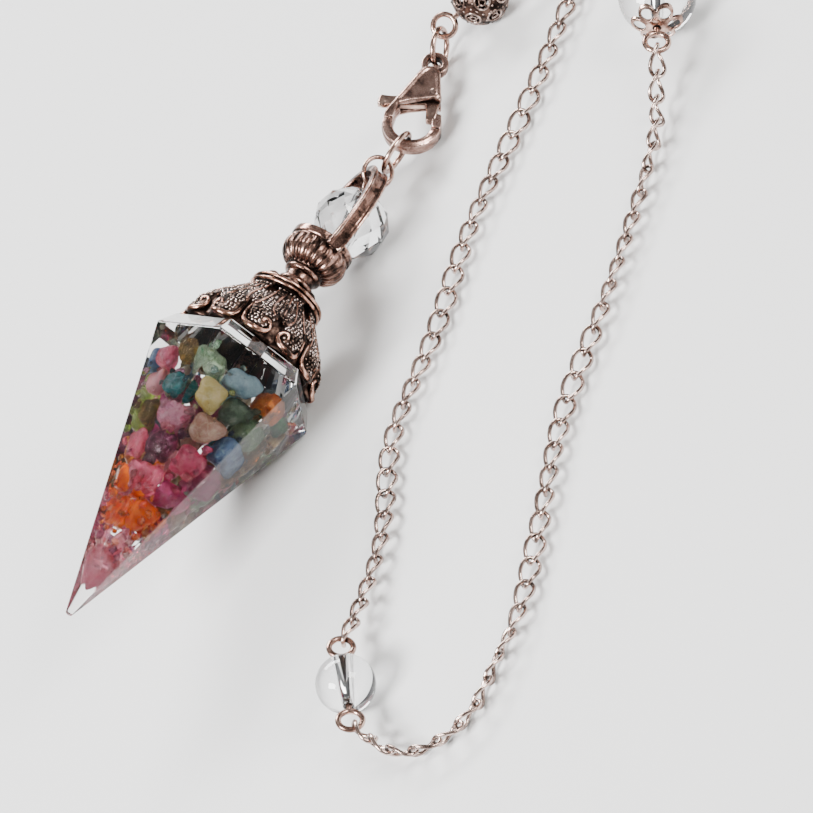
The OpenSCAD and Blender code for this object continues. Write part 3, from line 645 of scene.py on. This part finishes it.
# how much a pebble is rounded, least and most, the waves on it, its growth, how flat it is at
# most, and how far it is shifted across and along the point
PEBBLE_WEAR = (2.4, 4.2)
PEBBLE_WAVES = ((1.1, 0.26), (2.7, 0.08))
PEBBLE_GROWTH = 1.08
PEBBLE_FLAT = 0.22
PEBBLE_SHIFT = (0.2, 0.2, 0.4)


def pebble(cell, facets, seed):
    """A tumbled stone in the place of one CAD stone: its facets' own reach, rounded and worn."""
    mid = cell.mean(0)
    ways, faces = FINE_BALL
    near = np.zeros((len(ways), len(facets)))
    for k, facet in enumerate(facets):
        a, b, c = (cell[i] - mid for i in facet[:3])
        n = unit(np.cross(b - a, c - a))
        n *= np.sign(n @ a)
        near[:, k] = np.maximum(ways @ n, 0) / (n @ a)
    draw = random.Random(seed)
    wear = draw.uniform(*PEBBLE_WEAR)
    # each side of the cell is four facets, so the sum counts it four times
    reach = (near ** wear / 4).sum(1) ** (-1 / wear)
    worn = lumps(ways, PEBBLE_WAVES, (seed * 3.1, seed * 1.7, seed * 0.9))
    v = flattened(ways * (reach * (PEBBLE_GROWTH + worn))[:, None], draw, 0.0, PEBBLE_FLAT)
    shift = [draw.uniform(-most, most) for most in PEBBLE_SHIFT]
    return mid + v + LIE @ np.array(shift), faces


def toned(name, pieces, tones, mat):
    """Joined pebbles with the tone of each on its corners."""
    v, f = gathered(pieces)
    ob = obj_from(name, v * MM, f, mat)
    attr = ob.data.color_attributes.new("tone", "FLOAT_COLOR", "POINT")
    colors = [(*tone, 1) for (v, _), tone in zip(pieces, tones) for _ in v]
    attr.data.foreach_set("color", np.array(colors, np.float32).reshape(-1))
    return ob


def rank(cell):
    """Order of a stone: its floor, then its angle about the point's axis."""
    x, y, z = upright(cell).mean(0)
    return round(-z / FLOOR_H), math.degrees(math.atan2(y, x)) % 360


def stones(kind):
    """A family's pebbles as one piece of the scene, and each with its tone."""
    family = FAMILIES[kind]
    places, faces = merged(kind + "_stones")
    solids = sorted(groups(len(places), edges_of(faces)), key=lambda solid: rank(places[solid]))
    pieces = []
    for n, solid in enumerate(solids):
        number = {i: k for k, i in enumerate(solid)}
        facets = [[number[i] for i in f] for f in faces if f[0] in number]
        pieces.append(pebble(places[solid], facets, n + ord(kind[0])))
    tones = [family["tones"][int(pick)] for pick in family["picks"]]
    mat = stone(kind + "_stone", family["clarity"], family["vein"])
    ob = toned("tumbled_" + kind, pieces, tones, mat)
    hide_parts(kind + "_stones")
    return list(zip(pieces, tones))


pebbles = [p for kind in FAMILIES for p in stones(kind)]

FRAGMENTS = 330
FRAGMENT_TRIES = 12000
# depths under the girdle between which they lie, and the least way in from the point's faces
FRAGMENT_FROM = 0.9
FRAGMENT_TO = 25
FRAGMENT_INSET = 0.35
FRAGMENT_R = 0.9
FRAGMENT_WAVES = ((0.9, 0.8), (2.2, 0.35))
# least size, and least distance from another one as a share of both sizes: below LOW_Z they
# are smaller and lie closer
LOW_Z = -18
LOW_LIMITS = (0.26, 0.55)
HIGH_LIMITS = (0.36, 0.8)
# height of the tip piece's middle, half its length, and its way in from the point's faces
TIP_MID = -25.6
TIP_HALF = 2.6
TIP_INSET = 0.25
TIP_WAVES = ((1.3, 0.15),)
TIP_TONE = (0.85, 0.36, 0.47)


def tip_piece():
    """A pale piece that fills the end of the point, up to the clear tip."""
    ways, faces = FINE_BALL
    z = TIP_MID + TIP_HALF * ways[:, 2]
    r = (FLAT_R * (1 + z / POINT_LEN) - TIP_INSET) * (1 + lumps(ways, TIP_WAVES))
    return lain(np.column_stack((ways[:, 0] * r, ways[:, 1] * r, z))), faces


def fragments():
    """Small pieces in the clear resin between the stones, in tones like the nearest stone's."""
    v, f = gathered([p for p, _ in pebbles])
    skin_of_stones = BVHTree.FromPolygons([Vector(p) for p in v], f)
    chips, tones, taken = [tip_piece()], [TIP_TONE], []
    draw = random.Random(5)
    for _ in range(FRAGMENT_TRIES):
        z = -draw.uniform(FRAGMENT_FROM, FRAGMENT_TO)
        a = draw.uniform(0, 2 * math.pi)
        share = math.sqrt(draw.random())
        # how far the six-sided point reaches at this height and angle
        flat = FLAT_R * (1 + z / POINT_LEN)
        reach = flat / math.cos((a + math.pi / 6) % (math.pi / 3) - math.pi / 6) - FRAGMENT_INSET
        r = reach * share
        p = Vector(LIE @ np.array((r * math.cos(a), r * math.sin(a), z)) + GIRDLE)
        hit, normal, nearest, dist = skin_of_stones.find_nearest(p)
        size = min(dist * 1.35, FRAGMENT_R, reach + 0.2 - r)
        least, apart = LOW_LIMITS if z < LOW_Z else HIGH_LIMITS
        in_stone = (p - hit) @ normal < 0
        if in_stone or size < least or any((p - q).length < (size + w) * apart for q, w in taken):
            continue
        taken.append((p, size))
        ways, faces = COARSE_BALL
        worn = 1 + lumps(ways, FRAGMENT_WAVES, (len(taken) * 2.3, 1.1, 0.4))
        v = flattened(ways * (worn / worn.max() * size)[:, None], draw, 0.2, 0.6)
        chips.append((np.array(p) + v, faces))
        near_tone = pebbles[nearest // len(FINE_BALL[1])][1]
        tones.append([c * draw.uniform(0.7, 1.1) for c in near_tone])
        if len(taken) == FRAGMENTS:
            break
    return toned("stone_fragments", chips, tones, stone("fragment_stone", 0.8, (0.7, 0.6, 0.5)))


fragments()

# Materials of the CAD nodes that stay in the scene
WIRES = ("bail_ring", "clasp_ring", "link_ring", "metal_bead_pin", "small_bead_pin", "large_bead_pin",
         "drop_bead_pin")
dressed = [(wire, m_wire) for wire in WIRES]
dressed += [("metal_bead", m_field), ("clasp_pivot", m_copper)]
dressed += [("drop_bead", m_cut), ("small_bead", m_glass), ("large_bead", m_glass)]
for node, mat in dressed:
    nodes[node].data.materials.clear()
    nodes[node].data.materials.append(mat)

# Clasp: a round bar for the hook and a raised rim round the dished faces of the housing.
# Its own frame runs along X from the hook's outer end to the eye, as in the CAD source.
CLASP_TURN = rot("Z", 38) @ rot("Y", 4) @ rot("X", 36)
CLASP_L = 10.4
HOOK_R = 3.05
PIVOT = np.array([0.702 * CLASP_L, -0.361 * HOOK_R, 0])
CLASP_AT = middle("clasp_pivot")[0] - CLASP_TURN @ PIVOT
# radius of the bar's middle line and of its wire, and the wire's radii from either end
BAR_R = HOOK_R - 0.5
BAR_WIRE_R = 0.6
BAR_END = [0.3, 0.42, 0.52]
# the bars beside it: how far off, and their share of its radius
SIDE_SHIFT = 0.4
SIDE_SHARE = 0.82
# height of the rims on both faces, radius of their wire, and their outline
RIM_Z = 0.95
RIM_WIRE_R = 0.27
RIM = [(5.0, 2.3), (6.5, 1.82), (8.0, 1.33), (9.3, 0.9), (9.95, 0.46), (10.12, 0), (9.95, -0.46),
       (9.3, -0.9), (8.0, -1.33), (7.0, -1.62), (6.72, -1.2), (6.2, -0.1), (5.6, 1.2)]
# the lever's thumb tab: its middle and its half sizes
TAB = (5.3, 3.75, 0)
TAB_HALF = (0.72, 0.66, 0.5)


def in_clasp(piece):
    """A piece from the clasp's own frame to the scene's, both in mm."""
    return piece[0] @ CLASP_TURN.T + CLASP_AT, piece[1]


def bar(z, share):
    """The hook's bar at a height over its middle plane, with thinner ends."""
    turns = [math.radians(a) for a in range(50, 295, 15)]
    radii = BAR_END + [BAR_WIRE_R] * (len(turns) - 2 * len(BAR_END)) + BAR_END[::-1]
    places = [(HOOK_R + BAR_R * math.cos(a), BAR_R * math.sin(a), z) for a in turns]
    return rod(places, np.array(radii) * share, 10, 3)


relief = [bar(0, 1), bar(-SIDE_SHIFT, SIDE_SHARE), bar(SIDE_SHIFT, SIDE_SHARE)]
for z in (-RIM_Z, RIM_Z):
    relief.append(tube([np.array((x, y, z)) for x, y in RIM], RIM_WIRE_R, 8, 3))
body = soften("cast_clasp_body", "clasp_body", voxel=0.07, smooth=7, mat=m_copper, push=0.03,
              relief=[in_clasp(piece) for piece in relief])
ways, faces = COARSE_BALL
tab = in_clasp((ways * TAB_HALF + TAB, faces))
lever = soften("cast_clasp_lever", "clasp_lever", voxel=0.05, smooth=50, mat=m_wire, body="lever",
               push=0.06, relief=[tab])

# Bail: a raised wire along both edges of the arch's strap. The arch's two arcs, the angle
# where they meet and the turn of its plane are as in the CAD source.
SIDE_R = 9.967
SIDE_X = -5.367
SIDE_Z = 21.6
SIDE_FROM = -26
TOP_R = 4.287
TOP_Z = 23.463
MEET = 19.1
# how far outside the arcs the wire lies: a share at the sides, a length at the top
SIDE_OUT = 1.036
TOP_OUT = 0.36
STRAP_Y = 0.69
STRAP_WIRE_R = 0.19
ARCH_TURN = rot("Z", 248)


def arc(r, x, y, z, start, end, count):
    """Places on an arc of radius r about the point x, z."""
    turns = [math.radians(a) for a in np.linspace(start, end, count)]
    return [(x + r * math.cos(a), y, z + r * math.sin(a)) for a in turns]


relief = []
for y in (-STRAP_Y, STRAP_Y):
    right_side = arc(SIDE_R * SIDE_OUT, SIDE_X, y, SIDE_Z, SIDE_FROM, MEET, 6)
    left_side = [(-x, y, z) for x, y, z in reversed(right_side)]
    top = arc(TOP_R + TOP_OUT, 0, y, TOP_Z, MEET, 180 - MEET, 9)
    edge = right_side + top[1:-1] + left_side
    v, f = rod(edge, [STRAP_WIRE_R] * len(edge), 8, 3)
    relief.append((lain(v @ ARCH_TURN.T), f))
bail = soften("cast_bail", "fluted_bail", voxel=0.09, smooth=2, mat=m_bail, relief=relief)
for node in ("lower_bead_cap", "upper_bead_cap"):
    soften("cast_" + node, node, voxel=0.05, smooth=3, mat=m_wire)

# Petal cap: softened casting with scrolls, ribs and rows of grains on its petals
CAP_Z = 2.05
CAP_R = 7.85
CAP_H = 8.0
PLATE_R = 4.0
PLATE_Z = CAP_Z + CAP_H
# the cap's outline: share of its height, share of its radius
BELL = np.array([(0, 1), (0.06, 1), (0.3, 0.985), (0.5, 0.86), (0.66, 0.73), (0.8, 0.6), (1, 0.46)])
# distance from the axis from which its surface is looked for
RAY_FROM = 14

cap = soften("cast_petal_cap", "petal_cap", voxel=0.115, smooth=3, mat=m_field)
cap_skin = BVHTree.FromPolygons([Vector(v) for v in upright(corners(cap.data) / MM)],
                                [tuple(p.vertices) for p in cap.data.polygons])
# the collar plate, its cone and balls shine more than the petals' ground
cap.data.materials.append(m_bail)
mids = np.empty(len(cap.data.polygons) * 3)
cap.data.polygons.foreach_get("center", mids)
over_plate = upright(mids.reshape(-1, 3) / MM)[:, 2] > PLATE_Z
cap.data.polygons.foreach_set("material_index", over_plate.astype(int))


def on_cap(turn, rise):
    """Place, normal and way out on the cap, at an angle and a height over its edge."""
    a = math.radians(turn)
    out = Vector((math.cos(a), math.sin(a), 0))
    hit, normal, _, _ = cap_skin.ray_cast(out * RAY_FROM + Vector((0, 0, CAP_Z + rise)), -out)
    return np.array(hit), np.array(normal), np.array(out)


# Columns of each line: angle from the lobe's or petal's middle, height, radius of the wire
SCROLL = [(11.5, 3.5, 0.1), (12.3, 2.5, 0.18), (11.6, 1.45, 0.25), (7.9, 0.68, 0.3), (0.6, 0.42, 0.31),
          (-6.3, 0.66, 0.29), (-9.8, 1.3, 0.24), (-8.6, 1.98, 0.19), (-4.6, 2.1, 0.16), (-3.2, 1.66, 0.15)]
RIB = [(25.6, 3.3, 0.12), (23.6, 4.0, 0.14), (22.2, 4.9, 0.14), (21.8, 5.9, 0.13), (21.4, 7.2, 0.1)]
INNER_RIB = [(3.0, 2.9, 0.1), (8.6, 3.4, 0.12), (11.6, 4.4, 0.12), (11.4, 5.8, 0.12), (9.6, 7.2, 0.1)]
MIDDLE_RIB = [(0, 3.9, 0.08), (0, 5.2, 0.12), (0, 7.3, 0.1)]
# angle from a petal's middle to those of its lobes
LOBE = 15
SUNK = 0.12


def line_on_cap(line, middle_turn, side):
    """A wire along a line on the cap, sunk a little into it."""
    places = []
    for turn, rise, r in line:
        p, n, _ = on_cap(middle_turn + side * turn, rise)
        places.append(p + n * (r - SUNK))
    return rod(places, [r for _, _, r in line])


wires = []
for petal in range(0, 360, 60):
    for side in (-1, 1):
        wires.append(line_on_cap(SCROLL, petal + side * LOBE, side))
        wires.append(line_on_cap(RIB, petal, side))
        wires.append(line_on_cap(INNER_RIB, petal, side))
    ridge = [on_cap(petal, rise)[0] for _, rise, _ in MIDDLE_RIB]
    wires.append(rod(ridge, [r for _, _, r in MIDDLE_RIB]))
# the collar plate's two rounded edges: radius, height, radius of the wire
for r, z, wire_r in ((PLATE_R - 0.1, PLATE_Z + 0.7, 0.22), (PLATE_R - 0.05, PLATE_Z + 0.15, 0.2)):
    ring = [np.array((r * math.cos(a), r * math.sin(a), z)) for a in np.arange(36) * math.pi / 18]
    wires.append(tube(ring, wire_r, 8, 2))
v, f = gathered(wires)
obj_from("petal_scrolls", above_floor(lain(v)), f, m_scroll)

# heights of the first and the last row, distances between rows and in a row, and radii
GRAIN_FROM = 0.55
GRAIN_TO = 7.6
GRAIN_ROW = 0.33
GRAIN_STEP = 0.4
GRAIN_SIZES = (0.13, 0.2)
# how far a grain strays from its place, in degrees and in mm
STRAY_TURN = 0.5
STRAY_RISE = 0.07
# a grain lies deeper than this in a gap, or faces up or down where it faces out less than this
GAP_DEPTH = 0.4
LEAST_OUT = 0.25
wire_corners = KDTree(len(v))
for i, p in enumerate(v):
    wire_corners.insert(p, i)
wire_corners.balance()
grains = []
rise = GRAIN_FROM
row = 0
while rise < GRAIN_TO:
    r = CAP_R * np.interp(rise / CAP_H, BELL[:, 0], BELL[:, 1])
    count = int(2 * math.pi * r / GRAIN_STEP)
    for k in range(count):
        turn = (k + 0.5 * (row % 2)) * 360 / count + rng.uniform(-1, 1) * STRAY_TURN
        p, n, out = on_cap(turn, rise + rng.uniform(-STRAY_RISE, STRAY_RISE))
        if math.hypot(p[0], p[1]) < r - GAP_DEPTH or n @ out < LEAST_OUT:
            continue
        size = rng.uniform(*GRAIN_SIZES)
        if wire_corners.find(p)[2] > size + 0.02:
            grains.append(dome(p, n, size))
    rise += GRAIN_ROW
    row += 1
v, f = gathered(grains)
obj_from("petal_grains", above_floor(lain(v)), f, m_grain)

# Openwork bead: wire rings round its windows, spokes in them and grains between them
BEAD_MID, bead_size = middle("metal_bead")
BEAD_R = bead_size[0] / 2
BEAD_TURN = rot("Z", -12)
# rows of windows: lean off the bead's waist, number, angle of the first
WINDOW_ROWS = ((-40, 6, 30), (0, 8, 22), (40, 6, 30))
# rings of a window: radius, radius of the wire, depth under the bead's surface
WINDOW_RINGS = ((0.8, 0.13, 0.05), (0.34, 0.09, 0.08))
# ends of a spoke: height under the surface, distance from the window's middle
SPOKE_ENDS = ((0.14, 0.3), (0.2, 0.8))
SPOKE_RADII = [0.08, 0.1]
# grains lie on a spiral, outside the windows and off the pin's holes, and are a little sunk
BEAD_GRAINS = 260
GRAIN_R = 0.15
GRAIN_SUNK = 0.02
GOLDEN_TURN = 2.39996
WINDOW_REACH = 0.96
HOLE_FROM = 0.94
ways = []
for lean, count, turn in WINDOW_ROWS:
    for k in range(count):
        ways.append(rot("X", turn + k * 360 / count) @ rot("Y", lean) @ np.array([0, 0, 1.0]))
pieces = []
for way in ways:
    # two ways across the window, the first one anywhere
    a = unit(np.cross(way, (0.2, 0.9, 0.4)))
    b = np.cross(way, a)
    for radius, wire_r, depth in WINDOW_RINGS:
        mid = way * math.sqrt((BEAD_R - depth) ** 2 - radius ** 2)
        turns = np.arange(12) * math.pi / 6
        loop = [mid + (a * math.cos(t) + b * math.sin(t)) * radius for t in turns]
        pieces.append(tube(loop, wire_r, 6, 2))
    for t in np.arange(4) * math.pi / 2 + 0.4:
        out = a * math.cos(t) + b * math.sin(t)
        spoke = [way * (BEAD_R - depth) + out * far for depth, far in SPOKE_ENDS]
        pieces.append(rod(spoke, SPOKE_RADII, 6, 1))
for k in range(BEAD_GRAINS):
    x = 1 - (2 * k + 1) / BEAD_GRAINS
    a = k * GOLDEN_TURN
    out = math.sqrt(1 - x * x)
    way = np.array([x, out * math.cos(a), out * math.sin(a)])
    if abs(x) < HOLE_FROM and max(way @ w for w in ways) < math.cos(WINDOW_REACH / BEAD_R):
        pieces.append(dome(way * (BEAD_R - GRAIN_SUNK), way, GRAIN_R))
v, f = gathered(pieces)
filigree = obj_from("bead_filigree", above_floor(v @ BEAD_TURN.T + BEAD_MID), f, m_openwork)

# Floor, just under the part
FLOOR_HALF_M = 3
floor = bpy.data.meshes.new("floor")
square = ((-1, -1), (1, -1), (1, 1), (-1, 1))
floor.from_pydata([(x * FLOOR_HALF_M, y * FLOOR_HALF_M, 0) for x, y in square], [], [(0, 1, 2, 3)])
floor_ob = placed("floor", floor)
floor_ob.location.z = -0.02 * MM
t = Tree("pale_floor")
t.feed(t.bsdf, Base_Color=(0.74, 0.74, 0.74, 1), Roughness=0.6)
floor.materials.append(t.mat)

# Studio: a sky that is dark at the horizon and white overhead, and three soft boxes
SKY_STRENGTH = 0.38
world = bpy.data.worlds.new("studio")
world.use_nodes = True
sky_nodes = world.node_tree.nodes
sky_links = world.node_tree.links
sky = sky_nodes.new("ShaderNodeTexCoord")
height = sky_nodes.new("ShaderNodeSeparateXYZ")
fade = sky_nodes.new("ShaderNodeValToRGB")
horizon, zenith = fade.color_ramp.elements
horizon.position = 0.0
horizon.color = (0.1, 0.1, 0.11, 1)
zenith.position = 0.9
zenith.color = (1, 1, 1, 1)
sky_links.new(sky.outputs["Generated"], height.inputs[0])
sky_links.new(height.outputs["Z"], fade.inputs[0])
sky_links.new(fade.outputs[0], sky_nodes["Background"].inputs[0])
sky_nodes["Background"].inputs[1].default_value = SKY_STRENGTH
bpy.context.scene.world = world


def softbox(name, place, size, power, color=(1, 1, 1)):
    """A lit rectangle that faces the middle of the scene, in metres and watts."""
    light = bpy.data.lights.new(name, "AREA")
    light.shape = "RECTANGLE"
    light.size, light.size_y = size
    light.energy = power
    light.color = color
    ob = placed(name, light)
    ob.location = place
    ob.rotation_euler = (-Vector(place)).to_track_quat("-Z", "Y").to_euler()


softbox("key", (-0.35, -0.1, 0.4), (0.24, 0.16), 7.5)
softbox("fill", (0.35, -0.3, 0.3), (0.2, 0.2), 3.0, (1, 0.97, 0.93))
softbox("rim", (0.1, 0.45, 0.3), (0.4, 0.12), 5.0)
